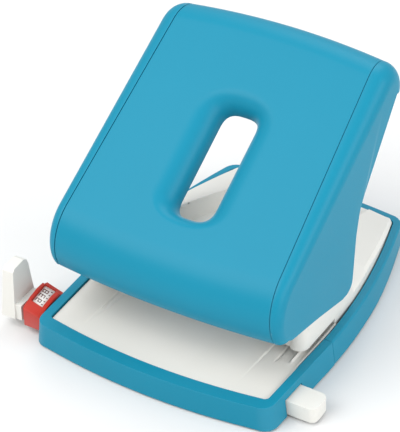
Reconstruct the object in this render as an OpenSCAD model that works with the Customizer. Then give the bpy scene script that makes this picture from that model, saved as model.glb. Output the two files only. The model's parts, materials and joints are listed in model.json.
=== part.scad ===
// Two-hole office punch: lever handle with a finger slot, white deck, sliding paper guide
// with a format window, and a pull-out chip tray. Millimetres, Z up, X across the punch,
// -Y is the side where the paper goes in. The origin is on the desk under the base centre.

/* [Base] */
// Half width of the base at its front edge
base_half_w = 56; // [55:0.5:57]
// Y of the front corners of the base
front_y = -69.5; // [-71:0.5:-69]
// Y of the rear corners of the base
rear_y = 69.5; // [69:0.5:71]
// How far the front edge bows forward at the middle
front_bow = 5.6; // [3:0.2:7]
// How far the rear edge bows back at the middle
rear_bow = 3.0; // [1:0.2:4]
// Height of the top of the blue rim above the desk
rim_top = 12.4; // [12.4:0.2:13]
// Width of the rim along the sides
rim_side = 3.9; // [3.4:0.1:4]
// Width of the rim along the front
rim_front = 6.1; // [5:0.1:6.5]
// Thickness of the base and tray walls under the rim
base_wall = 2.0; // [1.6:0.1:2.2]
// Y where the front shell ends and the chip tray begins
split_y = -20; // [-21:0.5:-19]

/* [Punching] */
// Distance between the two hole centres
hole_spacing = 80; // [80:1:80]
// Diameter of a punch pin
pin_d = 5.5; // [5:0.1:6]
// Distance from the paper stop to the hole centres
stop_to_hole = 12; // [11:0.5:13]
// Y of the paper stop
stop_y = -8.5; // [-9:0.5:-8]
// Height of the paper deck above the desk
deck_z = 11.2; // [11:0.1:11.2]
// Clear height of the paper throat
throat_h = 3.2; // [2.8:0.1:3.4]

/* [Lever] */
// Y of the lever axle
pivot_y = -44; // [-45:0.5:-43]
// Height of the lever axle
pivot_z = 44; // [43:0.5:45]
// Diameter of the lever axle
axle_d = 5; // [4:0.5:5]

/* [Handle] */
// Slope of the handle plate at rest, in degrees
tilt = 31.4; // [31:0.1:32]
// Height of the plate's outer face above Y = 0
plate_z0 = 93.2; // [92:0.2:95]
// Outer radius of the front roll of the handle
roll_r = 20; // [19:0.5:20.5]
// Outer radius of the raised rear end of the handle
end_r = 13; // [12:0.5:14]
// Outer half width of the handle
handle_half_w = 54.5; // [54:0.1:55]
// Radius of the long side edges of the handle
edge_r = 5.9; // [5:0.1:6]
// Wall thickness of the handle shells
shell_t = 2.4; // [2.2:0.1:2.6]
// Width of the seam between the centre panel and each side cap
seam_w = 0.2; // [0.1:0.05:0.3]
// Half width of the finger slot
slot_half_w = 8.3; // [8:0.1:9]
// Radius of the soft lip around the finger slot
slot_lip_r = 9.7; // [9:0.1:10]

/* [Paper guide] */
// X of the paper stop face on the guide paddle
paddle_x = -69.5; // [-70:0.5:-68.5]
// Width of the guide bar, along Y
bar_w = 14; // [13:0.5:14]
// Y of the middle of the guide bar
bar_y = -55; // [-55.5:0.5:-54.5]
// Height of the top of the guide bar
bar_top = 9.1; // [9:0.05:9.1]
// Thickness of the guide bar
bar_t = 4.2; // [4:0.1:4.2]

/* [Hidden] */

blue = [0.18, 0.58, 0.70];
white = [0.83, 0.83, 0.80];
red = [0.76, 0.26, 0.20];
steel = [0.70, 0.71, 0.72];
black = [0.10, 0.10, 0.11];

// Middle of the whole part in plan: everything is drawn round the line midway between the
// holes, then moved so that the origin lies under the middle
paddle_t = 7;                        // thickness of the paddle at its foot
end_x = 69.8;                        // outer end of the guide's end piece
middle = [(paddle_x - paddle_t + end_x) / 2, (front_y - front_bow + rear_y + rear_bow) / 2];

eps = 0.01;
fit = 0.05;                          // running clearance of a shaft, on the radius
base_z0 = 0.8;                       // underside of the base, held up by the feet
floor_z = 2.2;                       // top of the base and tray floors
rim_under = 10.4;                    // underside of the rim flange
plate_top = 9.4;                     // top of the steel base plate
plate_t = 2.0;
deck_gap = 0.4;                      // gap between the deck and the rim
hole_x = hole_spacing / 2;
pin_y = stop_y - stop_to_hole;
roof_z = deck_z + throat_h;          // roof of the paper throat
pin_r = pin_d / 2;
pin_tip = roof_z + 0.6;
pin_head_z = pivot_z - 4;            // underside of the pin's head
bush_top = roof_z + 11.1;
tray_front_y = -35;                  // front end of the tray's pan
pan_half_w = 44;
pan_top = 6.9;

// ---- plan of the base: sides run nearly straight, then curve in towards the rear ----
curve_from = -23.4;
curve_in = 16.6;
curve_power = 1.85;
side_flare = 0.03;
front_corner_r = 6;
rear_corner_r = 7;

function side_x(y) = base_half_w + side_flare * (y - front_y)
    - curve_in * pow(max(0, (y - curve_from) / (rear_y - curve_from)), curve_power);
function front_edge(x) = front_y - front_bow * (1 - pow(x / base_half_w, 2));
function rear_edge(x) = rear_y + rear_bow * (1 - pow(x / side_x(rear_y), 2));

// Right half of the outline, set in by ds at the sides, df at the front and dr at the rear
function half_outline(ds, df, dr) =
    let (rf = max(1, front_corner_r - min(ds, df)), rr = max(1, rear_corner_r - ds),
        ya = front_edge(side_x(front_y) - ds - rf) + df + rf,
        xa = side_x(ya) - ds - rf,
        lean = atan(curve_in * curve_power / (rear_y - curve_from) - side_flare),
        xb = side_x(rear_y - 5) - ds - rr,
        yb = rear_edge(xb) - dr - rr,
        xc = side_x(yb + rr * sin(lean)) - ds - rr * cos(lean))
    concat(
        [for (i = [0 : 10]) let (x = xa * i / 10) [x, front_edge(x) + df]],
        [for (a = [-75 : 15 : 0]) [xa + rf * cos(a), ya + rf * sin(a)]],
        [for (i = [1 : 15]) let (y = ya + (yb + rr * sin(lean) - ya) * i / 16) [side_x(y) - ds, y]],
        [for (i = [0 : 5]) let (a = lean + (90 - lean) * i / 5) [xc + rr * cos(a), yb + rr * sin(a)]],
        [for (i = [7 : -1 : 0]) let (x = (xc - 0.5) * i / 8) [x, rear_edge(x) - dr]]);
function outline(ds, df, dr) = let (h = half_outline(ds, df, dr), n = len(h))
    concat(h, [for (i = [n - 2 : -1 : 1]) [-h[i][0], h[i][1]]]);

module slab(z0, z1, ds = 0, df = 0, dr = 0)
    translate([0, 0, z0]) linear_extrude(z1 - z0) polygon(outline(ds, df, dr));

module box(x0, x1, y0, y1, z0, z1)
    translate([x0, y0, z0]) cube([x1 - x0, y1 - y0, z1 - z0]);

// Extrudes an outline drawn in the YZ plane along X, from x0 to x1
module along_x(x0, x1)
    translate([x0, 0, 0]) rotate([90, 0, 90]) linear_extrude(x1 - x0) children();

module both_sides() for (s = [-1, 1]) scale_x(s) children();
module scale_x(s) if (s > 0) children(); else mirror([1, 0, 0]) children();

// ---- base ----
module rim_ring(y_from, y_to) intersection() {
    difference() {
        slab(base_z0, rim_top);
        slab(floor_z, rim_under, base_wall, base_wall, base_wall);
        slab(rim_under - eps, rim_top + 1, rim_side, rim_front, rim_side);
    }
    box(-90, 90, y_from, y_to, 0, 20);
}

bar_y0 = bar_y - bar_w / 2;
bar_y1 = bar_y + bar_w / 2;
bar_z0 = bar_top - bar_t;
end_y0 = -57;                        // end piece of the guide bar
end_y1 = -45.4;
end_z0 = 1.4;
end_z1 = 8.4;
end_r0 = 3;                          // radius of its outer corners
bar_end_x = 50;
plate_y0 = -43.5;

module base_shell() color(blue) {
    difference() {
        rim_ring(-90, split_y - 0.15);
        box(-pan_half_w - 1, pan_half_w + 1, tray_front_y - 1, 0, -1, rim_under - 1);
        // left wall opening for the format window, right wall opening for the bar's end
        box(-62, -50, bar_y0 - 1.6, bar_y1 + 1.6, bar_z0 - 1.4, rim_under);
        // slot in the floor under the whole travel of the bar's end piece
        box(-47, 62, end_y0 - 0.6, end_y1 + 0.6, 0, floor_z + eps);
        box(50, 62, end_y0 - 0.6, end_y1 + 0.6, 0, end_z1 + 0.5);
        for (x = [-34, 34]) translate([x, -40, 0]) cylinder(d = 2.6, h = 8, $fn = 32);
    }
    // ledges that carry the steel base plate
    intersection() {
        slab(base_z0, plate_top - plate_t, base_wall - 0.3, 3, 3);
        both_sides() box(pan_half_w + 1, 60, plate_y0, split_y - 0.15, plate_top - plate_t - 2, 9);
    }
    for (x = [-34, 34]) translate([x, -40, floor_z - eps]) difference() {
        cylinder(d = 6, h = plate_top - plate_t - floor_z + eps, $fn = 48);
        translate([0, 0, -1]) cylinder(d = 2.6, h = 9, $fn = 32);
    }
}

module feet(points) for (p = points) translate([p[0], p[1], 0])
    cylinder(d = 11, h = base_z0, $fn = 48);
module front_feet() color(black) feet([[-43, -64], [43, -64]]);
module rear_feet() color(black) feet([[-35, 56], [35, 56]]);

module base_plate() color(steel) difference() {
    intersection() {
        slab(plate_top - plate_t, plate_top, 6.2, 7, 8);
        box(-90, 90, plate_y0, 90, 0, 20);
    }
    for (x = [-hole_x, hole_x]) {
        translate([x, pin_y, 0]) cylinder(d = 8.4, h = 20, $fn = 48);
        translate([x, foot_screw_y, 0]) cylinder(d = 4.1, h = 20, $fn = 48);
    }
    for (x = [-34, 34]) translate([x, -40, 0]) cylinder(d = 3.1, h = 20, $fn = 48);
}

strip_x = 49;                        // half length of the die strip
strip_y0 = pin_y - 8.5;
strip_y1 = stop_y - 3.5;

module deck() color(white) difference() {
    intersection() {
        slab(plate_top, deck_z, rim_side + deck_gap, rim_front + deck_gap, rim_side + deck_gap);
        box(-90, 90, -90, stop_y - 0.2, 0, 20);
    }
    box(-strip_x - 0.2, strip_x + 0.2, strip_y0 - 0.2, strip_y1 + 0.2, 0, 20);
    for (x = [-34, 34]) translate([x, -40, 0]) cylinder(d = 6.2, h = plate_top + 1.2, $fn = 48);
}

module die_strip() color(steel) difference() {
    box(-strip_x, strip_x, strip_y0, strip_y1, plate_top, deck_z);
    for (x = [-hole_x, hole_x]) translate([x, pin_y, 0])
        cylinder(r = pin_r + fit, h = 20, $fn = 64);
}

module plate_screws() color(steel) for (x = [-34, 34]) translate([x, -40, 0]) {
    translate([0, 0, 3]) cylinder(d = 2.5, h = plate_top - 3 + eps, $fn = 32);
    translate([0, 0, plate_top]) cylinder(d = 5.6, h = 1.0, $fn = 48);
}

// ---- white upper body: two side rails, a sloping middle floor and a collar round each frame ----
rail_y0 = 8;
rail_in = 28;
function rail_out(y) = side_x(y) - rim_side - deck_gap - 0.15;
function rail_edge_z(y) = y < 40 ? 34.5 - (y - 8) * 0.40 : 21.7 - (y - 40) * 0.305;
function rail_low_z(y) = 17.4 - max(0, y - 30) * 0.115;
rail_y = [for (y = [rail_y0 : 8 : 72]) y];

module rail(set_in) {
    // a section across the rail: outer foot, outer shoulder, inner edge, inner foot
    function section(y) = let (o = rail_out(y) - set_in, i = rail_in + set_in, d = set_in * 1.2)
        [[o, plate_top - set_in / 2], [o, rail_low_z(y) - 1.5 - d], [o - 1.4, rail_low_z(y) - d],
         [i, rail_edge_z(y) - d], [i, plate_top - set_in / 2]];
    n = len(rail_y);
    pts = [for (j = [0 : n - 1]) let (y = rail_y[j] + (j == 0 ? set_in : 0))
        for (p = section(rail_y[j])) [p[0], y, p[1]]];
    polyhedron(pts, concat(
        [[4, 3, 2, 1, 0]],
        [[for (i = [0 : 4]) (n - 1) * 5 + i]],
        [for (j = [0 : n - 2]) for (i = [0 : 4]) let (k = (i + 1) % 5)
            each [[j * 5 + i, j * 5 + k, (j + 1) * 5 + k], [j * 5 + i, (j + 1) * 5 + k, (j + 1) * 5 + i]]]));
}

mid_t = 2;
module mid_profile(drop) polygon([
    [stop_y + drop, plate_top - (drop > 0 ? 1 : 0)], [stop_y + drop, 24.5 - drop], [-5.5, 27 - drop],
    [2, 27 - drop], [34, 14.5 - drop], [44, 13.4 - drop], [80, 12.6 - drop],
    [80, plate_top - (drop > 0 ? 1 : 0)]]);

collar_in = rail_in - eps;
collar_t = 1.6;
nose_r = 4.2;                        // rounded front corner of the collar
ear_front_z = 19;                    // height where the ears start to lean forward
// out widens the plan towards the rim, d sets it in by a wall
module collar_plan(out, d) {
    r = nose_r - d;
    polygon(concat([[collar_in + d, -28.5 + d]],
        [for (a = [-120 : 15 : 0]) [47.2 + out + r * cos(a), -30.4 - out + r * sin(a)]],
        [[51.4 + out - d, -9], [51.4 + out * 0.15 - d, rail_y0 + 0.5], [collar_in + d, rail_y0 + 0.5]]));
}
module collar() difference() {
    union() {
        intersection() {
            translate([0, 0, plate_top]) linear_extrude(40) collar_plan(0, 0);
            along_x(20, 60) polygon([[-40, 5], [rail_y0 + 0.5, 5], [rail_y0 + 0.5, 33.4], [0, 36.4],
                [-14, 36.4], [-35, 26.5], [-40, 26.5]]);
        }
        // skirt that widens the collar to the rim, under the path of the handle's side walls
        intersection() {
            translate([0, 0, plate_top]) linear_extrude(40) collar_plan(1.3, 0);
            along_x(40, 60) polygon([[-40, 5], [rail_y0 + 0.5, 5], [rail_y0 + 0.5, 14.9], [-11.5, 14.9],
                [-33, 25.2], [-40, 25.2]]);
        }
    }
    translate([0, 0, plate_top - 1]) linear_extrude(60) collar_plan(0, collar_t);
    box(20, 60, -40, stop_y, 0, roof_z);
    // slots that let the frame's two ears out through the front of the collar
    for (x = [ear_in, ear_out]) box(x - 0.4, x + ear_t + 0.4, -40, ear_y0 - 0.2, ear_front_z, 60);
}

module upper_body() color(white) {
    intersection() {
        union() {
            both_sides() difference() {
                rail(0);
                rail(mid_t);
            }
            difference() {
                along_x(-rail_in - eps, rail_in + eps) mid_profile(0);
                along_x(-rail_in - 2, rail_in + 2) mid_profile(mid_t);
            }
        }
        slab(plate_top, 60, rim_side + deck_gap, rim_front + deck_gap, rim_side + deck_gap);
    }
    both_sides() collar();
}

// ---- steel punch frames ----
ear_in = 32;
ear_out = 46;
ear_t = 2;
ear_y0 = -27.8;                      // front of the ears at the throat
foot_y = 7.6;                        // rear end of the frame's foot
foot_screw_y = 1.6;
module ear_profile() difference() {
    union() {
        polygon([[stop_y, plate_top], [foot_y, plate_top], [foot_y, 20], [-6, 38], [pivot_y + 3, pivot_z + 5.8],
            [pivot_y - 4.4, pivot_z - 4.6], [ear_y0, ear_front_z], [ear_y0, roof_z],
            [stop_y, roof_z]]);
        translate([pivot_y, pivot_z]) circle(r = 6.5, $fn = 64);
    }
    translate([pivot_y, pivot_z]) circle(d = axle_d + 0.04, $fn = 64);
}
module punch_frame() color(steel) difference() {
    union() {
        along_x(ear_in, ear_in + ear_t) ear_profile();
        along_x(ear_out, ear_out + ear_t) ear_profile();
        box(ear_in, ear_out + eps, ear_y0, stop_y, roof_z, roof_z + 2.4);
        box(ear_in, ear_out + eps, stop_y, stop_y + 2, plate_top, 30);
        box(ear_in, ear_out + eps, stop_y, foot_y, plate_top, plate_top + 2);
    }
    translate([hole_x, pin_y, 0]) cylinder(r = 4.5, h = 30, $fn = 64);
    translate([hole_x, foot_screw_y, 0]) cylinder(d = 4.1, h = 20, $fn = 48);
}
module frame_right() punch_frame();
module frame_left() mirror([1, 0, 0]) punch_frame();

module frame_screws() color(steel) for (x = [-hole_x, hole_x]) translate([x, foot_screw_y, 0]) {
    translate([0, 0, plate_top - plate_t]) cylinder(d = 4, h = 2 + plate_t + eps, $fn = 48);
    translate([0, 0, plate_top + 2]) cylinder(d = 7, h = 2.4, $fn = 48);
}

module pin_bush() color(steel) difference() {
    union() {
        translate([hole_x, pin_y, roof_z]) cylinder(r = 4.48, h = bush_top - roof_z, $fn = 64);
        translate([hole_x, pin_y, roof_z + 2.4]) cylinder(r = 5.6, h = 1.6, $fn = 64);
    }
    translate([hole_x, pin_y, 0]) cylinder(r = pin_r + fit, h = 50, $fn = 64);
}
module pin_bush_right() pin_bush();
module pin_bush_left() mirror([1, 0, 0]) pin_bush();

module axle() color(steel) translate([0, pivot_y, pivot_z]) rotate([0, 90, 0]) {
    translate([0, 0, ear_in - 0.1]) cylinder(d = axle_d, h = 16.2, $fn = 64);
    translate([0, 0, ear_in - 1.4]) cylinder(r = 4, h = 1.4, $fn = 48);
    translate([0, 0, ear_out + ear_t]) cylinder(r = 4, h = 1.4, $fn = 48);
}
module axle_right() axle();
module axle_left() mirror([1, 0, 0]) axle();

// ---- punch pins and their springs ----
washer_t = 1.2;
module punch_pin() color(steel) translate([hole_x, pin_y, 0]) {
    translate([0, 0, pin_tip]) cylinder(r = pin_r, h = pin_head_z - pin_tip + eps, $fn = 64);
    rotate_extrude($fn = 64) polygon([[0, pin_head_z], [4, pin_head_z], [4, pin_head_z + 2.6],
        [3, pin_head_z + 3.5], [1.5, pin_head_z + 3.9], [0, pin_head_z + 3.95]]);
}
module punch_pin_right() punch_pin();
module punch_pin_left() mirror([1, 0, 0]) punch_pin();

module spring_washer() color(steel) translate([hole_x, pin_y, pin_head_z - washer_t]) difference() {
    cylinder(r = 4.9, h = washer_t, $fn = 64);
    translate([0, 0, -1]) cylinder(r = pin_r + 0.02, h = 4, $fn = 64);
}
module spring_washer_right() spring_washer();
module spring_washer_left() mirror([1, 0, 0]) spring_washer();

spring_turns = 6;
spring_wire = 0.45;
spring_mean_r = 3.9;
module return_spring() {
    length = pin_head_z - washer_t - bush_top - 2 * spring_wire - 0.2;
    half_arc = spring_wire / (length / spring_turns) * 360;
    color(steel) translate([hole_x, pin_y, bush_top + spring_wire + 0.1])
        linear_extrude(length, twist = -360 * spring_turns, slices = 20 * spring_turns)
            polygon([for (t = [0 : 30 : 330]) let (r = spring_mean_r + spring_wire * cos(t), a = half_arc * sin(t))
                [r * cos(a), r * sin(a)]]);
}
module return_spring_right() return_spring();
module return_spring_left() mirror([1, 0, 0]) return_spring();

// ---- handle ----
// In the handle's side view a point is given by s, along the plate, and n, out of the plate
function plate_pt(s, n) = [s * cos(tilt) - n * sin(tilt), plate_z0 + s * sin(tilt) + n * cos(tilt)];
roll_s = -58.6;                      // plate position of the front roll's centre
end_s = 33.1;                        // plate position of the rear end's centre
roll_c = plate_pt(roll_s, -roll_r);
end_c = plate_pt(end_s, -end_r);
lip_z = 36;                          // lower edge of the front roll
cap_x = handle_half_w - edge_r;      // X of the seam

function to_plate(p) = [p[0] * cos(tilt) + (p[1] - plate_z0) * sin(tilt),
    (p[1] - plate_z0) * cos(tilt) - p[0] * sin(tilt)];
module side_view(points) polygon([for (p = points) to_plate(p)]);

// The handle is drawn in the plate's own frame: X across, Y along the plate, Z out of it
module plate_frame() translate([0, 0, plate_z0]) rotate([tilt, 0, 0]) children();
module handle_outline(d) union() {
    translate([roll_s, -roll_r]) circle(r = roll_r - d, $fn = 128);
    translate([end_s, -end_r]) circle(r = end_r - d, $fn = 96);
    polygon([[roll_s, -roll_r], [end_s, -end_r], [end_s, -d], [roll_s, -d]]);
}
end_cut = end_c + [25, -5];          // the rear end stops along this line
module above_openings() side_view([[-80, lip_z], [roll_c[0] - 6, lip_z], roll_c, end_c, end_cut,
    [60, 140], [-80, 140]]);

slot_c_r = slot_half_w + slot_lip_r; // half width of the slot where its lip meets the plate
sunk = 0.02;                         // the lip lies this far under the plate's face
slot_s0 = -45.5 + slot_half_w;
slot_s1 = 4 - slot_half_w;
module stadium(r) {
    for (s = [slot_s0, slot_s1]) translate([0, s]) circle(r = r, $fn = 96);
    translate([-r, slot_s0]) square([2 * r, slot_s1 - slot_s0]);
}
module lip_section() translate([slot_c_r, -slot_lip_r - sunk]) {
    intersection() {
        difference() {
            circle(r = slot_lip_r, $fn = 96);
            circle(r = slot_lip_r - shell_t, $fn = 96);
        }
        translate([-slot_lip_r, 0]) square(slot_lip_r);
    }
    translate([0, slot_lip_r - shell_t]) square([0.9, shell_t]);
}
module slot_lip() {
    for (s = [[slot_s0, 180], [slot_s1, 0]]) translate([0, s[0], 0]) rotate([0, 0, s[1]])
        rotate_extrude(angle = 180, $fn = 96) lip_section();
    for (m = [0, 180]) translate([0, (slot_s0 + slot_s1) / 2, 0]) rotate([90, 0, m])
        linear_extrude(slot_s1 - slot_s0, center = true) lip_section();
}

screw_s = [-46, -20];
module handle_panel() color(blue) plate_frame() {
    difference() {
        along_x(-cap_x + seam_w / 2, cap_x - seam_w / 2) intersection() {
            difference() {
                handle_outline(0);
                handle_outline(shell_t);
            }
            above_openings();
        }
        translate([0, 0, -8]) linear_extrude(16) stadium(slot_c_r + 0.4);
        for (x = [-hole_x, hole_x]) for (y = screw_s) translate([x, y, -4])
            cylinder(r = 1.8, h = 3.1, $fn = 48);
    }
    slot_lip();
}

// Quarter-round band that turns the plate down into the side wall
module band_section() intersection() {
    difference() {
        circle(r = edge_r, $fn = 96);
        circle(r = edge_r - shell_t, $fn = 96);
    }
    square(edge_r);
}
module turned_band(r, sweep) rotate([90, 0, 90]) rotate([0, 0, 90])
    rotate_extrude(angle = sweep, $fn = 128) translate([r - edge_r, 0]) band_section();
module cap_band() {
    translate([cap_x, (roll_s + end_s) / 2, -edge_r]) rotate([90, 0, 0])
        linear_extrude(end_s - roll_s, center = true) band_section();
    difference() {
        translate([cap_x, roll_s, -roll_r]) turned_band(roll_r, 110);
        along_x(40, 60) side_view([[-80, lip_z], [-40, lip_z], [-40, 20], [-80, 20]]);
    }
    difference() {
        translate([cap_x, end_s, -end_r]) mirror([0, 1, 0]) turned_band(end_r, 140);
        along_x(40, 60) side_view([end_c + [-10, 2], end_cut, [60, 60], [20, 60]]);
    }
}
// Side wall: the handle's outline inside the edge radius, and below it the cheek
cheek_edge = [[-80, 35.2], [-49.3, 35.2], [-48, 34], [-27, 28.8], [-6, 23.7], [-3.6, 23.4], [-0.6, 24.3],
    [1.4, 26.6], [2.6, 30], [5, 49], [8, 61.5], [11.4, 65.5], [40.9, 97.6], [60, 93.8], [60, 140], [-80, 140]];
module side_wall_outline() intersection() {
    union() {
        handle_outline(edge_r);
        side_view([[-49.3, 42], [-49.3, 20], [45, 20], [40.5, 97], end_c + [-2, 3], roll_c + [-2, 3]]);
    }
    side_view(cheek_edge);
}
module handle_cap() color(blue) translate([seam_w / 2, 0, 0]) plate_frame() {
    cap_band();
    along_x(handle_half_w - shell_t, handle_half_w) side_wall_outline();
}
module handle_cap_right() handle_cap();
module handle_cap_left() mirror([1, 0, 0]) handle_cap();

// ---- lever arms: steel channels from the axle up to the handle plate ----
arm_in = 35;
arm_out = 43;
arm_t = 2;
pad_z = pivot_z + 0.05;              // underside of the pad that rests on the pin head
flange_top = -shell_t - 0.1;
module arm_profile() difference() {
    union() {
        polygon([[pivot_y, pivot_z - 6], [-28, pad_z + 1], [-13, pad_z + 1], plate_pt(-4.6, flange_top - 1),
            plate_pt(-53.4, flange_top - 1), [pivot_y - 5.4, pivot_z + 3.2]]);
        translate([pivot_y, pivot_z]) circle(r = 6.2, $fn = 64);
    }
    translate([pivot_y, pivot_z]) circle(r = axle_d / 2 + fit, $fn = 64);
}
module lever_arm() color(steel) difference() {
    union() {
        along_x(arm_in, arm_in + arm_t) arm_profile();
        along_x(arm_out, arm_out + arm_t) arm_profile();
        box(arm_in - 0.2, arm_out + arm_t + 0.2, -27.5, -13.5, pad_z, pad_z + 2.5);
        plate_frame() translate([arm_in - 0.2, -54, flange_top - 2])
            cube([arm_out + arm_t - arm_in + 0.4, 50, 2]);
    }
    for (s = screw_s) plate_frame() translate([hole_x, s, -12]) cylinder(r = 2, h = 16, $fn = 48);
}
module lever_arm_right() lever_arm();
module lever_arm_left() mirror([1, 0, 0]) lever_arm();

module handle_screws() color(steel) for (x = [-hole_x, hole_x]) for (s = screw_s)
    plate_frame() translate([x, s, 0]) {
        translate([0, 0, flange_top - 2.1]) cylinder(r = 1.75, h = 3.3, $fn = 48);
        translate([0, 0, flange_top - 3.8]) cylinder(r = 2.8, h = 1.75, $fn = 48);
    }

// ---- paper guide: window housing, bar, paddle and end piece ----
window_x0 = -65.3;
window_x1 = -56.9;
module format_window() color(red) difference() {
    union() {
        along_x(window_x0, window_x1) polygon([[-65.5, 3.6], [-65.5, 12.4], [-64.8, 13.2], [-60, 15],
            [-54.5, 16.1], [-50.5, 16], [-49.6, 14.9], [-47.4, 14.1], [-46.4, 12.8], [-46.4, 3.6]]);
        box(window_x1 - eps, -53.6, bar_y0 - 1.4, bar_y1 + 1.4, bar_z0 - 1.2, rim_under - 0.2);
    }
    box(-80, -50, bar_y0 - 0.3, bar_y1 + 0.3, bar_z0 - 0.3, bar_top + 0.3);
    box(-64, -57.4, -61, -50.6, bar_top, 20);
}

module guide_bar() color(white) {
    box(paddle_x + 2.8, bar_end_x, bar_y0, bar_y1, bar_z0, bar_top);
    box(bar_end_x - eps, bar_end_x + 11, -55.5, -48.5, bar_z0 + 0.4, bar_top - 1.2);
}
module end_plan() polygon(concat([[57, end_y0]],
    [for (a = [-90 : 15 : 0]) [end_x - end_r0 + end_r0 * cos(a), end_y0 + end_r0 + end_r0 * sin(a)]],
    [for (a = [0 : 15 : 90]) [end_x - end_r0 + end_r0 * cos(a), end_y1 - end_r0 + end_r0 * sin(a)]],
    [[57, end_y1]]));
module guide_end() color(white) difference() {
    union() {
        box(bar_end_x + 0.1, 63, end_y0, end_y1, end_z0 + 0.6, end_z1);
        translate([0, 0, end_z0]) linear_extrude(end_z1 - end_z0) end_plan();
    }
    box(bar_end_x, bar_end_x + 11.3, -55.7, -48.3, bar_z0 + 0.2, bar_top - 1);
}
module guide_paddle() color(white) {
    along_x(paddle_x - paddle_t, paddle_x) polygon([[-66, 5.2], [-49.6, 5.2], [-50.4, 12], [-52.6, 27],
        [-54, 29.4], [-56.5, 30.4], [-60, 30.2], [-63, 28.6], [-64.4, 26.6]]);
    box(paddle_x - eps, paddle_x + 2.8, -65, -50.6, 4.9, 12.6);
}
module scale_strip() color([0.93, 0.92, 0.9])
    box(-66, 40, bar_y0 + 1, bar_y1 - 2, bar_top, bar_top + 0.12);

// ---- chip tray ----
module chip_tray() color(blue) {
    rim_ring(split_y + 0.15, 90);
    difference() {
        box(-pan_half_w, pan_half_w, tray_front_y, split_y + 0.2, base_z0, pan_top);
        box(-pan_half_w + 1.6, pan_half_w - 1.6, tray_front_y + 1.6, split_y + 1, floor_z, 20);
    }
}

// ---- the assembly, with the origin on the desk under its middle ----
module placed() translate([-middle[0], -middle[1], 0]) children();
placed() base_shell();
placed() front_feet();
placed() base_plate();
placed() deck();
placed() die_strip();
placed() upper_body();
placed() frame_left();
placed() frame_right();
placed() pin_bush_left();
placed() pin_bush_right();
placed() axle_left();
placed() axle_right();
placed() frame_screws();
placed() plate_screws();
placed() format_window();
placed() punch_pin_left();
placed() punch_pin_right();
placed() spring_washer_left();
placed() spring_washer_right();
placed() return_spring_left();
placed() return_spring_right();
placed() handle_panel();
placed() handle_cap_left();
placed() handle_cap_right();
placed() lever_arm_left();
placed() lever_arm_right();
placed() handle_screws();
placed() guide_bar();
placed() guide_paddle();
placed() guide_end();
placed() scale_strip();
placed() chip_tray();
placed() rear_feet();
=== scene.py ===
# Looks of the two-hole office punch: shells with true seams and soft edges, creased paper
# deck, printed window, brushed steel inside, plain studio.
import json
import math

import bmesh
import bpy
from mathutils import Matrix, Vector


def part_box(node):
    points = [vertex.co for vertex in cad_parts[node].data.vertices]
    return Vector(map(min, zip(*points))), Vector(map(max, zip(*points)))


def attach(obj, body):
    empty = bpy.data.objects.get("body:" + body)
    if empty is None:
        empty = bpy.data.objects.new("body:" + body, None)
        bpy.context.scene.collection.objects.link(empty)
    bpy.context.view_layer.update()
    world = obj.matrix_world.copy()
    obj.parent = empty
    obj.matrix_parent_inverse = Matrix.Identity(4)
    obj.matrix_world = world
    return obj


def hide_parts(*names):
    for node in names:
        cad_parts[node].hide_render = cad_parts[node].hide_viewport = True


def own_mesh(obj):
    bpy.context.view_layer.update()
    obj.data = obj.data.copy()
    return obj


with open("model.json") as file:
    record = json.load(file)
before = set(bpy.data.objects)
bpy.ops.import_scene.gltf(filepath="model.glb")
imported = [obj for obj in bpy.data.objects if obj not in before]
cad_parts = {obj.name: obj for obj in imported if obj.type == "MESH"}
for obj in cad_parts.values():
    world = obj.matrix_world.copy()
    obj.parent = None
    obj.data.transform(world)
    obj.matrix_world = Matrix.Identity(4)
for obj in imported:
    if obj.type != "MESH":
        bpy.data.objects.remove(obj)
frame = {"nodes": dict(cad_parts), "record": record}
NODES = frame["nodes"]
RECORD = frame["record"]
BODY = {n: b for b, ns in RECORD["behaviour"]["bodies"].items() for n in ns}
SLOT = {s["node"]: s["material_slot"] for s in RECORD["subparts"]}
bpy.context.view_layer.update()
MM = 0.001

# The line midway between the holes, from which every position below is measured in mm
pin_l, pin_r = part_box("punch_pin_left"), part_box("punch_pin_right")
X0 = (pin_l[0].x + pin_r[1].x) / 2
Y0 = (pin_l[0].y + pin_l[1].y) / 2 + 20.5 * MM


def P(x, y, z):
    return Vector((X0 + x * MM, Y0 + y * MM, z * MM))


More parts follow.
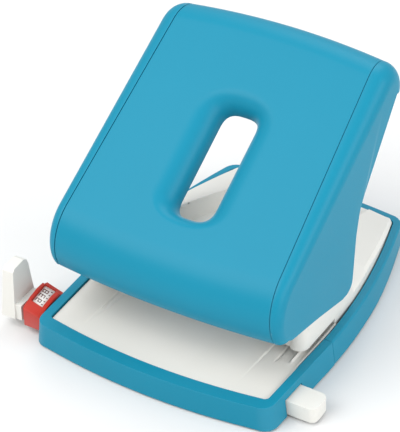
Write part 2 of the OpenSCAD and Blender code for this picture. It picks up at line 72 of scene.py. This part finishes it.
# ---------------------------------------------------------------- materials
def shade(name, colour, rough, metal=0.0, bump=0.0, grain=900.0, tone=0.05, wear_and_highlight=0.0,
          brushed=False, shine=0.5):
    mat = bpy.data.materials.new(name)
    mat.use_nodes = True
    nodes, links = mat.node_tree.nodes, mat.node_tree.links
    bsdf = nodes["Principled BSDF"]
    bsdf.inputs["Base Color"].default_value = (*colour, 1)
    bsdf.inputs["Roughness"].default_value = rough
    bsdf.inputs["Metallic"].default_value = metal
    bsdf.inputs["Specular IOR Level"].default_value = shine
    coord = nodes.new("ShaderNodeTexCoord")

    slow = nodes.new("ShaderNodeTexNoise")
    slow.inputs["Scale"].default_value = 22
    slow.inputs["Detail"].default_value = 3
    links.new(coord.outputs["Object"], slow.inputs["Vector"])
    mix = nodes.new("ShaderNodeMix")
    mix.data_type = "RGBA"
    mix.inputs[6].default_value = (*[c * (1 - tone) for c in colour], 1)
    mix.inputs[7].default_value = (*[min(1, c * (1 + tone)) for c in colour], 1)
    links.new(slow.outputs["Fac"], mix.inputs[0])
    last = mix.outputs[2]
    # Convex edges (high pointiness) get a lighter colour: partly edge wear, partly a painted highlight
    # along rounded edges and the deck's ridges
    if wear_and_highlight:
        geo = nodes.new("ShaderNodeNewGeometry")
        edge = nodes.new("ShaderNodeMapRange")
        edge.inputs["From Min"].default_value = 0.52
        edge.inputs["From Max"].default_value = 0.62
        edge.inputs["To Max"].default_value = wear_and_highlight
        links.new(geo.outputs["Pointiness"], edge.inputs["Value"])
        worn_and_lit = nodes.new("ShaderNodeMix")
        worn_and_lit.data_type = "RGBA"
        worn_and_lit.inputs[7].default_value = (*[c + (1 - c) * 0.35 for c in colour], 1)
        links.new(edge.outputs["Result"], worn_and_lit.inputs[0])
        links.new(last, worn_and_lit.inputs[6])
        last = worn_and_lit.outputs[2]
    links.new(last, bsdf.inputs["Base Color"])

    fine = nodes.new("ShaderNodeTexNoise")
    fine.inputs["Scale"].default_value = grain
    fine.inputs["Detail"].default_value = 4
    if brushed:
        stretch = nodes.new("ShaderNodeMapping")
        stretch.inputs["Scale"].default_value = (0.06, 1, 1)
        links.new(coord.outputs["Object"], stretch.inputs["Vector"])
        links.new(stretch.outputs["Vector"], fine.inputs["Vector"])
    else:
        links.new(coord.outputs["Object"], fine.inputs["Vector"])
    spread = nodes.new("ShaderNodeMapRange")
    spread.inputs["To Min"].default_value = max(0.03, rough - 0.07)
    spread.inputs["To Max"].default_value = min(1, rough + 0.07)
    links.new(fine.outputs["Fac"], spread.inputs["Value"])
    links.new(spread.outputs["Result"], bsdf.inputs["Roughness"])
    if bump:
        relief = nodes.new("ShaderNodeBump")
        relief.inputs["Strength"].default_value = bump
        relief.inputs["Distance"].default_value = 0.00005
        links.new(fine.outputs["Fac"], relief.inputs["Height"])
        links.new(relief.outputs["Normal"], bsdf.inputs["Normal"])
    return mat


# wear: how much lighter convex edges are painted, partly as edge wear and partly as a painted highlight
FINISHES = {
    "blue_plastic": dict(colour=(0.006, 0.222, 0.342), rough=0.40, bump=0.3, grain=2600, tone=0.03,
                         wear_and_highlight=0.2, shine=0.18),
    "white_plastic": dict(colour=(0.71, 0.70, 0.655), rough=0.5, bump=0.25, grain=2200, tone=0.03,
                          wear_and_highlight=0.1),
    "red_plastic": dict(colour=(0.46, 0.026, 0.014), rough=0.36, bump=0.2, grain=2200, tone=0.05,
                        wear_and_highlight=0.2, shine=0.2),
    "printed_strip": dict(colour=(0.78, 0.77, 0.74), rough=0.5, bump=0.1, tone=0.02),
    "steel": dict(colour=(0.52, 0.53, 0.54), rough=0.34, metal=1.0, bump=0.5, grain=1500, tone=0.08,
                  wear_and_highlight=0.2, brushed=True),
    "tool_steel": dict(colour=(0.42, 0.42, 0.43), rough=0.24, metal=1.0, bump=0.3, grain=1800, tone=0.1),
    "rubber": dict(colour=(0.03, 0.03, 0.032), rough=0.8, bump=0.6, grain=1500, tone=0.15),
}
MATS = {name: shade(name, **finish) for name, finish in FINISHES.items()}
INK = shade("ink", (0.10, 0.018, 0.014), 0.55, tone=0.1)


# ---------------------------------------------------------------- mesh helpers
def place(name, mesh, node=None, body=None, slot=None, mat=None, replaces=()):
    ob = bpy.data.objects.new(name, mesh)
    bpy.context.scene.collection.objects.link(ob)
    slot = slot or SLOT[node]
    mesh.materials.clear()
    mesh.materials.append(mat or MATS[slot])
    mesh.polygons.foreach_set("use_smooth", [True] * len(mesh.polygons))
    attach(ob, body or BODY[node])
    if replaces:
        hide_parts(*replaces)
    return ob


def mesh_of(name, verts, faces, outward=None):
    """Mesh from points; outward is (face number, direction) that fixes which side is out."""
    bm = bmesh.new()
    vs = [bm.verts.new(v) for v in verts]
    fs = [bm.faces.new([vs[i] for i in f]) for f in faces]
    bm.normal_update()
    if outward:
        bmesh.ops.recalc_face_normals(bm, faces=bm.faces)
        if fs[outward[0]].normal.dot(Vector(outward[1])) < 0:
            bmesh.ops.reverse_faces(bm, faces=bm.faces)
    bmesh.ops.delete(bm, geom=[v for v in bm.verts if not v.link_faces], context="VERTS")
    mesh = bpy.data.meshes.new(name)
    bm.to_mesh(mesh)
    bm.free()
    return mesh


def soften(ob, width, segments=3, angle=35, by_weight=False):
    bevel = ob.modifiers.new("edges", "BEVEL")
    bevel.width = width * MM
    bevel.segments = segments
    bevel.limit_method = "WEIGHT" if by_weight else "ANGLE"
    bevel.angle_limit = math.radians(angle)
    bevel.miter_outer = "MITER_ARC"
    bevel.use_clamp_overlap = True
    smooth = ob.modifiers.new("shading", "WEIGHTED_NORMAL")
    smooth.keep_sharp = True
    smooth.weight = 80
    return ob


def cad_mesh(node, name):
    """A clean copy of a CAD node's mesh: welded, with flat faces merged."""
    mesh = NODES[node].data.copy()
    mesh.name = name
    for a in ("custom_normal", "sharp_face", "sharp_edge"):
        if a in mesh.attributes:
            mesh.attributes.remove(mesh.attributes[a])
    bm = bmesh.new()
    bm.from_mesh(mesh)
    bmesh.ops.remove_doubles(bm, verts=bm.verts, dist=3e-6)
    bmesh.ops.dissolve_limit(bm, angle_limit=math.radians(0.2), verts=bm.verts, edges=bm.edges)
    bm.to_mesh(mesh)
    bm.free()
    return mesh


def refine(node, width, segments=3, angle=35, weight=None, move=None):
    """The CAD node with rounded edges. weight(x, y, z) gives an edge its share of width, and
    move(x, y, z) gives a corner's new place, all in mm."""
    name = node + "_look"
    mesh = cad_mesh(node, name)
    if move:
        for v in mesh.vertices:
            v.co = P(*move((v.co.x - X0) / MM, (v.co.y - Y0) / MM, v.co.z / MM))
        bm = bmesh.new()
        bm.from_mesh(mesh)
        bmesh.ops.remove_doubles(bm, verts=bm.verts, dist=0.06 * MM)
        bmesh.ops.dissolve_limit(bm, angle_limit=math.radians(0.6), verts=bm.verts, edges=bm.edges)
        bm.to_mesh(mesh)
        bm.free()
    if weight:
        bm = bmesh.new()
        bm.from_mesh(mesh)
        layer = bm.edges.layers.float.new("bevel_weight_edge")
        for e in bm.edges:
            if len(e.link_faces) == 2 and e.calc_face_angle(0) > math.radians(angle):
                m = (e.verts[0].co + e.verts[1].co) / 2
                e[layer] = weight((m.x - X0) / MM, (m.y - Y0) / MM, m.z / MM)
        bm.to_mesh(mesh)
        bm.free()
    ob = place(name, mesh, node=node, replaces=(node,))
    return soften(ob, width, segments, angle, by_weight=bool(weight))


def baked(ob):
    """The object's mesh with its modifiers applied."""
    graph = bpy.context.evaluated_depsgraph_get()
    return bpy.data.meshes.new_from_object(ob.evaluated_get(graph))


# ---------------------------------------------------------------- base outline, as in the CAD part
FRONT_Y, REAR_Y, BASE_W = -69.5, 69.5, 56.0


def side_x(y):
    t = max(0.0, (y + 23.4) / 92.9)
    return BASE_W + 0.03 * (y - FRONT_Y) - 16.6 * t ** 1.85


def front_edge(x):
    return FRONT_Y - 5.6 * (1 - (x / BASE_W) ** 2)


def rear_edge(x):
    return REAR_Y + 3.0 * (1 - (x / side_x(REAR_Y)) ** 2)


# ---------------------------------------------------------------- handle shells
TILT = math.radians(31.4)
CT, ST = math.cos(TILT), math.sin(TILT)
PLATE_Z = 93.2
ROLL_S, ROLL_R, END_S, END_R = -58.6, 20.0, 33.1, 13.0
LIP_Z = 35.0
TOP_A = math.pi / 2 + TILT
END_A = math.radians(-12)
PATCH_X, PATCH_S0, PATCH_S1, PATCH_ROWS, PATCH_COLS = 24.0, -57.0, 17.0, 36, 24
FRONT_BOW, REAR_BOW = 2.6, 2.8
SEAM = 0.11
SHELL = 2.2


def plate(s, n=0.0):
    return s * CT - n * ST, PLATE_Z + s * ST + n * CT


ROLL_C, END_C = plate(ROLL_S, -ROLL_R), plate(END_S, -END_R)
ROLL_LEN = ROLL_R * (math.pi + math.asin((ROLL_C[1] - LIP_Z) / ROLL_R) - TOP_A)
PLATE_LEN = END_S - ROLL_S
stations = [("roll", k / 30) for k in range(30)]
stations += [("plate", ROLL_S)]
stations += [("plate", PATCH_S0 + (PATCH_S1 - PATCH_S0) * k / PATCH_ROWS) for k in range(PATCH_ROWS + 1)]
stations += [("plate", PATCH_S1 + (END_S - PATCH_S1) * k / 8) for k in range(1, 9)]
stations += [("end", k / 40) for k in range(1, 41)]


def length_at(kind, v):
    if kind == "roll":
        return v * ROLL_LEN
    if kind == "plate":
        return ROLL_LEN + v - ROLL_S
    return ROLL_LEN + PLATE_LEN + v * (TOP_A - END_A) * END_R


def path_point(kind, v, n=0.0, bow=0.0):
    """(y, z) of a station, n out of the surface; bow is 1 in the middle and 0 at the seam."""
    if kind == "plate":
        if v <= ROLL_S:
            v -= FRONT_BOW * bow
        elif v > PATCH_S1:
            v += REAR_BOW * bow * (v - PATCH_S1) / (END_S - PATCH_S1)
        return plate(v, n)
    if kind == "roll":
        cy, cz = ROLL_C[0] - FRONT_BOW * bow * CT, ROLL_C[1] - FRONT_BOW * bow * ST
        a0 = math.pi + math.asin((cz - LIP_Z) / (ROLL_R + n))
        a = a0 + (TOP_A - a0) * v
        return cy + (ROLL_R + n) * math.cos(a), cz + (ROLL_R + n) * math.sin(a)
    cy, cz = END_C[0] + REAR_BOW * bow * CT, END_C[1] + REAR_BOW * bow * ST
    a = TOP_A + (END_A - TOP_A) * v
    return cy + (END_R + n) * math.cos(a), cz + (END_R + n) * math.sin(a)


def seam_x(kind, v):
    return 51.36 - 5.89 * length_at(kind, v) / 134.9


def flank_x(y):
    return 55.2 - 1.7 * (y + 57) / 105


def handle_panel():
    inner = [-PATCH_X + 2 * PATCH_X * i / PATCH_COLS for i in range(PATCH_COLS + 1)]
    outer = [k / 9 for k in range(1, 10)]
    verts, index, faces = [], {}, []
    for j, (kind, v) in enumerate(stations):
        edge = seam_x(kind, v) - SEAM
        right = [PATCH_X + (edge - PATCH_X) * f for f in outer]
        xs = [-x for x in reversed(right)] + inner + right
        for i, x in enumerate(xs):
            y, z = path_point(kind, v, bow=1 - (x / edge) ** 2)
            index[j, i] = len(verts)
            verts.append(P(x, y, z))
    cols = len(inner) + 2 * len(outer)
    j0 = 31
    j1 = j0 + PATCH_ROWS
    i0, i1 = len(outer), len(outer) + PATCH_COLS
    for j in range(len(stations) - 1):
        for i in range(cols - 1):
            if not (j0 <= j < j1 and i0 <= i < i1):
                faces.append((index[j, i], index[j, i + 1], index[j + 1, i + 1], index[j + 1, i]))
    # loop round the slot's patch, from the middle of its right side, counter-clockwise
    mid = j0 + PATCH_ROWS // 2
    loop = [(j, i1) for j in range(mid, j1)] + [(j1, i) for i in range(i1, i0, -1)]
    loop += [(j, i0) for j in range(j1, j0, -1)] + [(j0, i) for i in range(i0, i1)]
    loop += [(j, i1) for j in range(j0, mid)]
    m = len(loop)
    ring = [index[k] for k in loop]
    flat = []
    for j, i in loop:
        flat.append((inner[i - i0], PATCH_S0 + (PATCH_S1 - PATCH_S0) * (j - j0) / PATCH_ROWS))

    def slot_loop(half, up, down, square):
        """Points of a long slot in (x, s); square makes its ends flatter than half circles."""
        s0, s1 = -37.2, -4.3
        pts = []
        for k in range(m):
            g = k / m
            q = 0.12
            side = 1 if g < 0.25 or g > 0.75 else -1
            h = g if g <= 0.25 else 0.5 - g if g <= 0.75 else g - 1
            if abs(h) <= q:
                pts.append((side * half, (s0 + s1) / 2 + h / q * (s1 - s0) / 2))
            else:
                a = (abs(h) - q) / (0.25 - q) * math.pi / 2
                c, d = math.cos(a) ** (1 / square), math.sin(a) ** (1 / square)
                pts.append((side * half * c, s1 + up * d if h > 0 else s0 - down * d))
        return pts

    def add_ring(points):
        nonlocal ring
        new = []
        for x, s, n in points:
            y, z = plate(s, n)
            new.append(len(verts))
            verts.append(P(x, y, z))
        for k in range(m):
            faces.append((ring[k], ring[(k + 1) % m], new[(k + 1) % m], new[k]))
        ring = new

    brim = slot_loop(19.0, 16.3, 14.8, 1.05)
    for f in (0.25, 0.5, 0.75, 1.0):
        add_ring([(a[0] + (b[0] - a[0]) * f, a[1] + (b[1] - a[1]) * f, 0.0) for a, b in zip(flat, brim)])
    depth = 10.4
    for k in range(1, 15):
        a = math.pi / 2 * k / 14
        w = 1 - math.sin(a)
        pts = slot_loop(8.3 + 10.7 * w, 8.3 + 8.0 * w, 8.3 + 6.5 * w, 1.55 - 0.5 * w)
        add_ring([(x, s, -depth * (1 - math.cos(a))) for x, s in pts])
    mesh = mesh_of("handle_panel_look", verts, faces, outward=(len(faces) // 8, (0, -1, 0.2)))
    ob = place("handle_panel_look", mesh, node="handle_panel", replaces=("handle_panel",))
    thicken(ob, SHELL)
    return soften(ob, 0.45, 3, 40)


def thicken(ob, t):
    solid = ob.modifiers.new("wall", "SOLIDIFY")
    solid.thickness = t * MM
    solid.offset = -1
    solid.use_even_offset = True
    solid.use_quality_normals = True


def rounded(points, radii, steps=6):
    """A polyline in (y, z) with its corners turned into arcs; the end points stay."""
    out = [points[0]]
    for a, b, c, r in zip(points, points[1:], points[2:], radii):
        u = Vector((a[0] - b[0], a[1] - b[1])).normalized()
        w = Vector((c[0] - b[0], c[1] - b[1])).normalized()
        half = math.acos(max(-1, min(1, u.dot(w)))) / 2
        d = r / math.tan(half)
        centre = Vector(b) + (u + w).normalized() * (r / math.sin(half))
        p, q = Vector(b) + u * d, Vector(b) + w * d
        a0 = math.atan2(p.y - centre.y, p.x - centre.x)
        da = (math.atan2(q.y - centre.y, q.x - centre.x) - a0 + math.pi) % (2 * math.pi) - math.pi
        for k in range(steps + 1):
            a = a0 + da * k / steps
            out.append((centre.x + r * math.cos(a), centre.y + r * math.sin(a)))
    return out + [points[-1]]


def handle_cap(side, node):
    verts, faces, rim = [], [], []
    arc = 9
    for kind, v in stations:
        sx = seam_x(kind, v)
        r = 6.0
        for _ in range(3):
            r = flank_x(path_point(kind, v, -r)[0]) - sx
        for i in range(arc + 1):
            a = math.pi / 2 * i / arc
            y, z = path_point(kind, v, -r * (1 - math.cos(a)))
            x = sx + SEAM + (r - SEAM) * math.sin(a)
            if i == arc:
                x = flank_x(y)
                rim.append((len(verts), y, z))
            verts.append(P(side * x, y, z))
    for j in range(len(stations) - 1):
        for i in range(arc):
            a = j * (arc + 1) + i
            faces.append((a, a + 1, a + arc + 2, a + arc + 1))
    first, last = rim[0], rim[-1]
    # from under the rear end down to the cheek's foot, and forward to the lip of the roll
    corners = [(12.2, 66.4), (8, 60), (5.2, 49), (2.2, 23.6), (-6, 23.6), (-27, 28.8), (-49, 33.3)]
    radii = [14, 12, 30, 5.5, 3, 40, 6]
    cheek = rounded([last[1:], *corners, first[1:]], radii)[1:-1]
    low = []
    for y, z in cheek:
        low.append(len(verts))
        verts.append(P(side * flank_x(y), y, z))
    faces.append([r[0] for r in rim] + low)
    name = node + "_look"
    mesh = mesh_of(name, verts, faces, outward=(len(faces) - 1, (side, 0, 0)))
    ob = place(name, mesh, node=node, replaces=(node,))
    thicken(ob, SHELL)
    return soften(ob, 0.5, 3, 40)


handle_panel()
handle_cap(1, "handle_cap_right")
handle_cap(-1, "handle_cap_left")


# ---------------------------------------------------------------- base, tray and inner parts
def rim_weight(x, y, z):
    """Full rounding on the outer top edge of the rim, a little on every other edge."""
    inside = side_x(y) - abs(x)
    front, rear = y - front_edge(x), rear_edge(x) - y
    outer = min(inside, front, rear) < 1.2
    return 1.0 if outer and z > 12 else 0.5 if outer and z < 1.2 else 0.28


def clamp(t):
    return max(0.0, min(1.0, t))


def flared(x, y, z):
    """The side walls spread a little towards the desk."""
    out = 1.3 * clamp((12.4 - z) / 11.6) * clamp((abs(x) - 46) / 8)
    return x + math.copysign(out, x), y, z


refine("base_shell", 1.1, 4, 35, rim_weight, flared)
refine("chip_tray", 1.1, 4, 35, rim_weight, flared)


def body_weight(x, y, z):
    if y < -8.6 and z < 14.6:
        return 0.6
    return 1.0 if z > 15 else 0.3


# the collars' plan as in the CAD part, and how far the look widens both it and the skirt
NOSE_X, NOSE_Y, NOSE_R, COLLAR_SIDE = 47.2, -30.4, 4.2, 51.4
COLLAR_OUT, SKIRT_OUT, FLUSH_OUT = 0.0, 1.3, 0.75
NOSE_ROOT = Vector((28.5, -28.5))
SIDE_Y0, SIDE_Y1, SIDE_TAPER = -9.0, 8.5, 0.85
CAD_SWEEP, LOOK_SWEEP = math.radians(-120), math.radians(-140)
NOSE_SHIFT = Vector((0, 0.75))
SLOT_FLOOR, SLOT_FLOOR_LOOK = 19, 23.5
NEAR = 0.06


def nose_point(out, a):
    """A point of the collar's rounded front corner, out being how far the plan is widened."""
    return Vector((NOSE_X + out + NOSE_R * math.cos(a), NOSE_Y - out + NOSE_R * math.sin(a)))


def flush_nose(p, out):
    """Where a point on the outline widened by out goes, or None where it isn't on that outline."""
    centre = Vector((NOSE_X + out, NOSE_Y - out))
    start = nose_point(out, CAD_SWEEP)
    arm = p - centre
    if p.y <= centre.y + 0.02 and p.x >= start.x - 0.02 and abs(arm.length - NOSE_R) < NEAR:
        a = math.atan2(arm.y, arm.x) * LOOK_SWEEP / CAD_SWEEP
        return nose_point(FLUSH_OUT, a) + NOSE_SHIFT
    share = (p.x - NOSE_ROOT.x) / (start.x - NOSE_ROOT.x)
    if 0 <= share <= 1 and abs(p.y - NOSE_ROOT.y - (start.y - NOSE_ROOT.y) * share) < NEAR:
        return NOSE_ROOT.lerp(nose_point(FLUSH_OUT, LOOK_SWEEP) + NOSE_SHIFT, share)
    taper = 1 - SIDE_TAPER * clamp((p.y - SIDE_Y0) / (SIDE_Y1 - SIDE_Y0))
    if centre.y < p.y < SIDE_Y1 + 0.1 and abs(p.x - COLLAR_SIDE - out * taper) < NEAR:
        return Vector((COLLAR_SIDE + FLUSH_OUT * taper, p.y + 0.8 * clamp((SIDE_Y0 - p.y) / 20)))
    return None


def slot_floor(a, y, z, front):
    """The ears' slots end higher, where the handle hides them."""
    return SLOT_FLOOR_LOOK if y < front and 31 < a < 49 and abs(z - SLOT_FLOOR) < 0.05 else z


def body_shape(x, y, z):
    """Collars flush with their skirts, a rounder nose, and the ears' slots cut less deep."""
    p = Vector((abs(x), y))
    for out in (SKIRT_OUT, COLLAR_OUT):
        q = flush_nose(p, out)
        if q:
            return math.copysign(q.x, x), q.y, slot_floor(p.x, y, z, -28)
    return x, y, slot_floor(p.x, y, z, -27.5)


refine("upper_body", 1.4, 4, 20, body_weight, body_shape)


def step(t):
    t = clamp(t)
    return t * t * (3 - 2 * t)


def ridge(d, left, right):
    """A crest at d = 0 that falls to nothing over left on one side and over right on the other."""
    return max(0.0, 1 + d / left if d < 0 else 1 - d / right)


def deck_relief(x, y):
    """Raised guides that lift the paper's edge into the throats."""
    h = 0.0
    back = (y + 59.5) / 24
    if back > 0 and x < 0:
        left, right = -38.0 + 0.9 * back, -38.0 + 3.9 * back
        rise = min(1.0, 1.4 * back)
        h = rise * (0.95 * ridge(x - left, 1.5, 0.5) + 0.75 * ridge(x - right, 1.3, 0.5))
        h += 0.3 * rise * step((right - x) / 0.8) * step((x - left) / 0.8)
        h -= 0.8 * rise * step((left - x) / 1.5) * step((x + 52) / 12)
    back = (y + 60.5) / 24
    if back > 0 and x > 0:
        crease = 36.0 + 1.1 * back
        rise = min(1.0, 1.3 * back)
        h = 0.5 * rise * step((x - 16) / 18) * (1 - step((x - crease) / 0.7))
        h -= 0.7 * rise * ridge(x - crease, 0.6, 0.6)
        fade = step((y + 40) / 3)
        h += 0.9 * fade * ridge(x - 48.5, 0.9, 0.9)
        h -= 0.35 * fade * step(1.3 - abs(x - 44.0) / 3.4)
        h -= 0.7 * step((y + 42) / 2) * ridge(x - 42.5, 0.6, 0.6)
        h += 1.1 * step((x - 50.5) / 2) * step((y + 46) / 8)
    return h


def deck():
    nx, ny = 320, 100
    xs = [-55 + 110 * i / nx for i in range(nx + 1)]
    ys = [-70 + 62.5 * j / ny for j in range(ny + 1)]
    verts = [P(x, y, 11.2 + deck_relief(x, y)) for y in ys for x in xs]
    faces = []
    for j in range(ny):
        for i in range(nx):
            a = j * (nx + 1) + i
            faces.append((a, a + 1, a + nx + 2, a + nx + 1))
    edge = [(0, i) for i in range(nx)] + [(j, nx) for j in range(ny)]
    edge += [(ny, i) for i in range(nx, 0, -1)] + [(j, 0) for j in range(ny, 0, -1)]
    low = {}
    for j, i in edge:
        low[j, i] = len(verts)
        verts.append(P(xs[i], ys[j], 8.0))
    for a, b in zip(edge, edge[1:] + edge[:1]):
        faces.append((low[a], low[b], b[0] * (nx + 1) + b[1], a[0] * (nx + 1) + a[1]))
    faces.append([low[e] for e in reversed(edge)])
    slab = place("deck_slab", mesh_of("deck_slab", verts, faces, outward=(0, (0, 0, 1))), node="deck")
    tool_mesh = cad_mesh("deck", "deck_tool")
    for v in tool_mesh.vertices:
        if v.co.z > 10.9 * MM:
            v.co.z += 4 * MM
    tool = place("deck_tool", tool_mesh, node="deck")
    cut = slab.modifiers.new("outline", "BOOLEAN")
    cut.operation = "INTERSECT"
    cut.solver = "EXACT"
    cut.object = tool
    mesh = baked(slab)
    bpy.data.objects.remove(slab)
    bpy.data.objects.remove(tool)
    bm = bmesh.new()
    bm.from_mesh(mesh)
    bmesh.ops.dissolve_limit(bm, angle_limit=math.radians(0.05), verts=bm.verts, edges=bm.edges)
    bm.to_mesh(mesh)
    bm.free()
    mesh.name = "deck_look"
    ob = place("deck_look", mesh, node="deck", replaces=("deck",))
    return soften(ob, 0.35, 2, 50)


deck()

for n in ("base_plate", "die_strip", "frame_left", "frame_right", "pin_bush_left", "pin_bush_right",
          "lever_arm_left", "lever_arm_right"):
    refine(n, 0.3, 2)
for n in ("axle_left", "axle_right", "frame_screws", "plate_screws", "handle_screws", "front_feet",
          "rear_feet", "punch_pin_left", "punch_pin_right", "spring_washer_left", "spring_washer_right"):
    refine(n, 0.25, 2, 50)


def spring(node):
    """Round wire coil between the bush and the washer."""
    lo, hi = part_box(node)
    cx, cy = (lo.x + hi.x) / 2, (lo.y + hi.y) / 2
    wire, turns, per, sides = 0.45 * MM, 6, 40, 12
    r = (hi.x - lo.x) / 2 - wire
    z0, z1 = lo.z + wire, hi.z - wire
    verts, faces = [], []
    total = turns * per
    for k in range(total + 1):
        a = 2 * math.pi * k / per
        # closed end turns, open ones between
        t = k / total
        z = z0 + (z1 - z0) * (0.5 - 0.5 * math.cos(math.pi * t)) * 0.35 + (z1 - z0) * t * 0.65
        out = Vector((math.cos(a), math.sin(a), 0))
        c = Vector((cx, cy, z)) + out * r
        for i in range(sides):
            b = 2 * math.pi * i / sides
            verts.append(c + out * wire * math.cos(b) + Vector((0, 0, wire * math.sin(b))))
    for k in range(total):
        for i in range(sides):
            a, b = k * sides + i, k * sides + (i + 1) % sides
            faces.append((a, b, b + sides, a + sides))
    faces.append(list(range(sides)))
    faces.append([total * sides + i for i in reversed(range(sides))])
    mesh = mesh_of(node + "_look", verts, faces, outward=(0, (1, 0, 0)))
    ob = place(node + "_look", mesh, node=node, replaces=(node,))
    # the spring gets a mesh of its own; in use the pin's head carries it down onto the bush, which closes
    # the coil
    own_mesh(ob)


spring("return_spring_left")
spring("return_spring_right")


# ---------------------------------------------------------------- paper guide
refine("guide_bar", 0.4, 2)


def tapered(x, y, z):
    if x < -73:
        x += 1.6 * clamp((z - 8) / 22)
    elif x < -69:
        x -= 0.3 * clamp((z - 12) / 18)
    z += 1.9 * clamp((z - 20) / 6) * clamp((-60.8 - y) / 3)
    return x, y - 1.0 * clamp((y + 56) / 4), z


def sloped(x, y, z):
    """The housing's top falls towards the rim, and its window keeps a border there."""
    if -58 < x < -57.2:
        x -= 1.1
    return x, y, z - (0.22 * (x + 65.3) + 0.9 * clamp((x + 60) / 3)) * clamp((z - 11) / 2)


refine("guide_paddle", 1.7, 5, 28, move=tapered)
refine("guide_end", 1.0, 4, 50)
refine("format_window", 0.5, 3, 20, move=sloped)
refine("scale_strip", 0.03, 1)


def card_z(x, y):
    return 13.5 + 0.16 * (y + 60.9) - 0.22 * (x + 65.3)


def patch(name, corners, thick, mat=None):
    """A thin plate on the reading's plane, under the housing's window."""
    n = len(corners)
    verts = [P(x, y, card_z(x, y) + dz) for dz in (0, thick) for x, y in corners]
    faces = [list(reversed(range(n))), list(range(n, 2 * n))]
    faces += [(k, (k + 1) % n, n + (k + 1) % n, n + k) for k in range(n)]
    mesh = mesh_of(name, verts, faces, outward=(1, (0, 0, 1)))
    place(name, mesh, body="base", slot="printed_strip", mat=mat)


def bar(x0, x1, y0, y1):
    return [(x0, y0), (x1, y0), (x1, y1), (x0, y1)]


def digit(name, cx, cy, w, h, strokes):
    """A digit of short bars, read from the front of the punch's left side."""
    # centre and length of each bar along the digit's own width and height
    bars = {"a": (0, h / 2, w, 0), "g": (0, 0, w, 0), "d": (0, -h / 2, w, 0),
            "f": (-w / 2, h / 4, 0, h / 2), "b": (w / 2, h / 4, 0, h / 2),
            "e": (-w / 2, -h / 4, 0, h / 2), "c": (w / 2, -h / 4, 0, h / 2)}
    t = 0.17
    for s in strokes:
        u, v, lu, lv = bars[s]
        corners = bar(u - lu / 2 - t, u + lu / 2 + t, v - lv / 2 - t, v + lv / 2 + t)
        patch(f"{name}_{s}", [(cx - q, cy + p) for p, q in corners], 0.06, INK)


patch("window_card", bar(-64.3, -58.2, -61.3, -50.3), 0.03)
for k, strokes in enumerate(("abgedc", "abgcd", "abgedfc")):
    digit(f"window_digit_{k}", -62.2, -58.4 + 2.7 * k, 1.35, 2.4, strokes)
for k in range(5):
    patch(f"window_tick_{k}", bar(-60.2, -59.4, -59.7 + 1.9 * k, -59.3 + 1.9 * k), 0.06, INK)

# ---------------------------------------------------------------- studio
floor_mat = bpy.data.materials.new("floor")
floor_mat.use_nodes = True
floor_bsdf = floor_mat.node_tree.nodes["Principled BSDF"]
floor_bsdf.inputs["Base Color"].default_value = (0.72, 0.72, 0.715, 1)
floor_bsdf.inputs["Roughness"].default_value = 0.9
bpy.ops.mesh.primitive_plane_add(size=6, location=(0, 0, 0))
floor = bpy.context.object
floor.name = "floor"
floor.data.materials.append(floor_mat)

world = bpy.context.scene.world or bpy.data.worlds.new("world")
bpy.context.scene.world = world
world.use_nodes = True
world.node_tree.nodes["Background"].inputs["Color"].default_value = (0.95, 0.97, 1.0, 1)
world.node_tree.nodes["Background"].inputs["Strength"].default_value = 0.68


def lamp(name, where, aim, size, power, colour=(1, 1, 1)):
    data = bpy.data.lights.new(name, "AREA")
    data.shape = "SQUARE"
    data.size = size
    data.energy = power
    data.color = colour
    ob = bpy.data.objects.new(name, data)
    bpy.context.scene.collection.objects.link(ob)
    ob.location = Vector(where)
    ob.rotation_mode = "QUATERNION"
    ob.rotation_quaternion = (Vector(aim) - Vector(where)).to_track_quat("-Z", "Y")


lamp("key", (-0.42, -0.62, 0.95), (0, -0.02, 0.03), 1.0, 11.5, (1, 0.985, 0.96))
lamp("back", (-0.1, 0.6, 0.85), (0, 0, 0.06), 0.6, 3.0)
lamp("side", (0.95, 0.15, 0.5), (0, 0, 0.05), 0.4, 2.4)
lamp("fill", (0.85, -0.35, 0.4), (-0.02, -0.03, 0.02), 0.6, 3.0)

camera = bpy.data.cameras.new("camera")
camera.sensor_width = 36
camera.lens = 183.3
camera.clip_start, camera.clip_end = 0.05, 20
cam = bpy.data.objects.new("camera", camera)
bpy.context.scene.collection.objects.link(cam)
azimuth, elevation, roll = math.radians(32.54), math.radians(36.51), math.radians(-1.65)
level = Vector((math.sin(azimuth), -math.cos(azimuth), 0))
back = level * math.cos(elevation) + Vector((0, 0, math.sin(elevation)))
right = Vector((math.cos(azimuth), math.sin(azimuth), 0))
up = back.cross(right)
right, up = (right * math.cos(roll) + up * math.sin(roll)), (up * math.cos(roll) - right * math.sin(roll))
turn = Matrix((right, up, back)).transposed().to_4x4()
cam.matrix_world = Matrix.Translation(P(-14.87, -4.56, 40) + back * 0.9246) @ turn
bpy.context.scene.camera = cam
bpy.context.scene.view_settings.view_transform = "Standard"
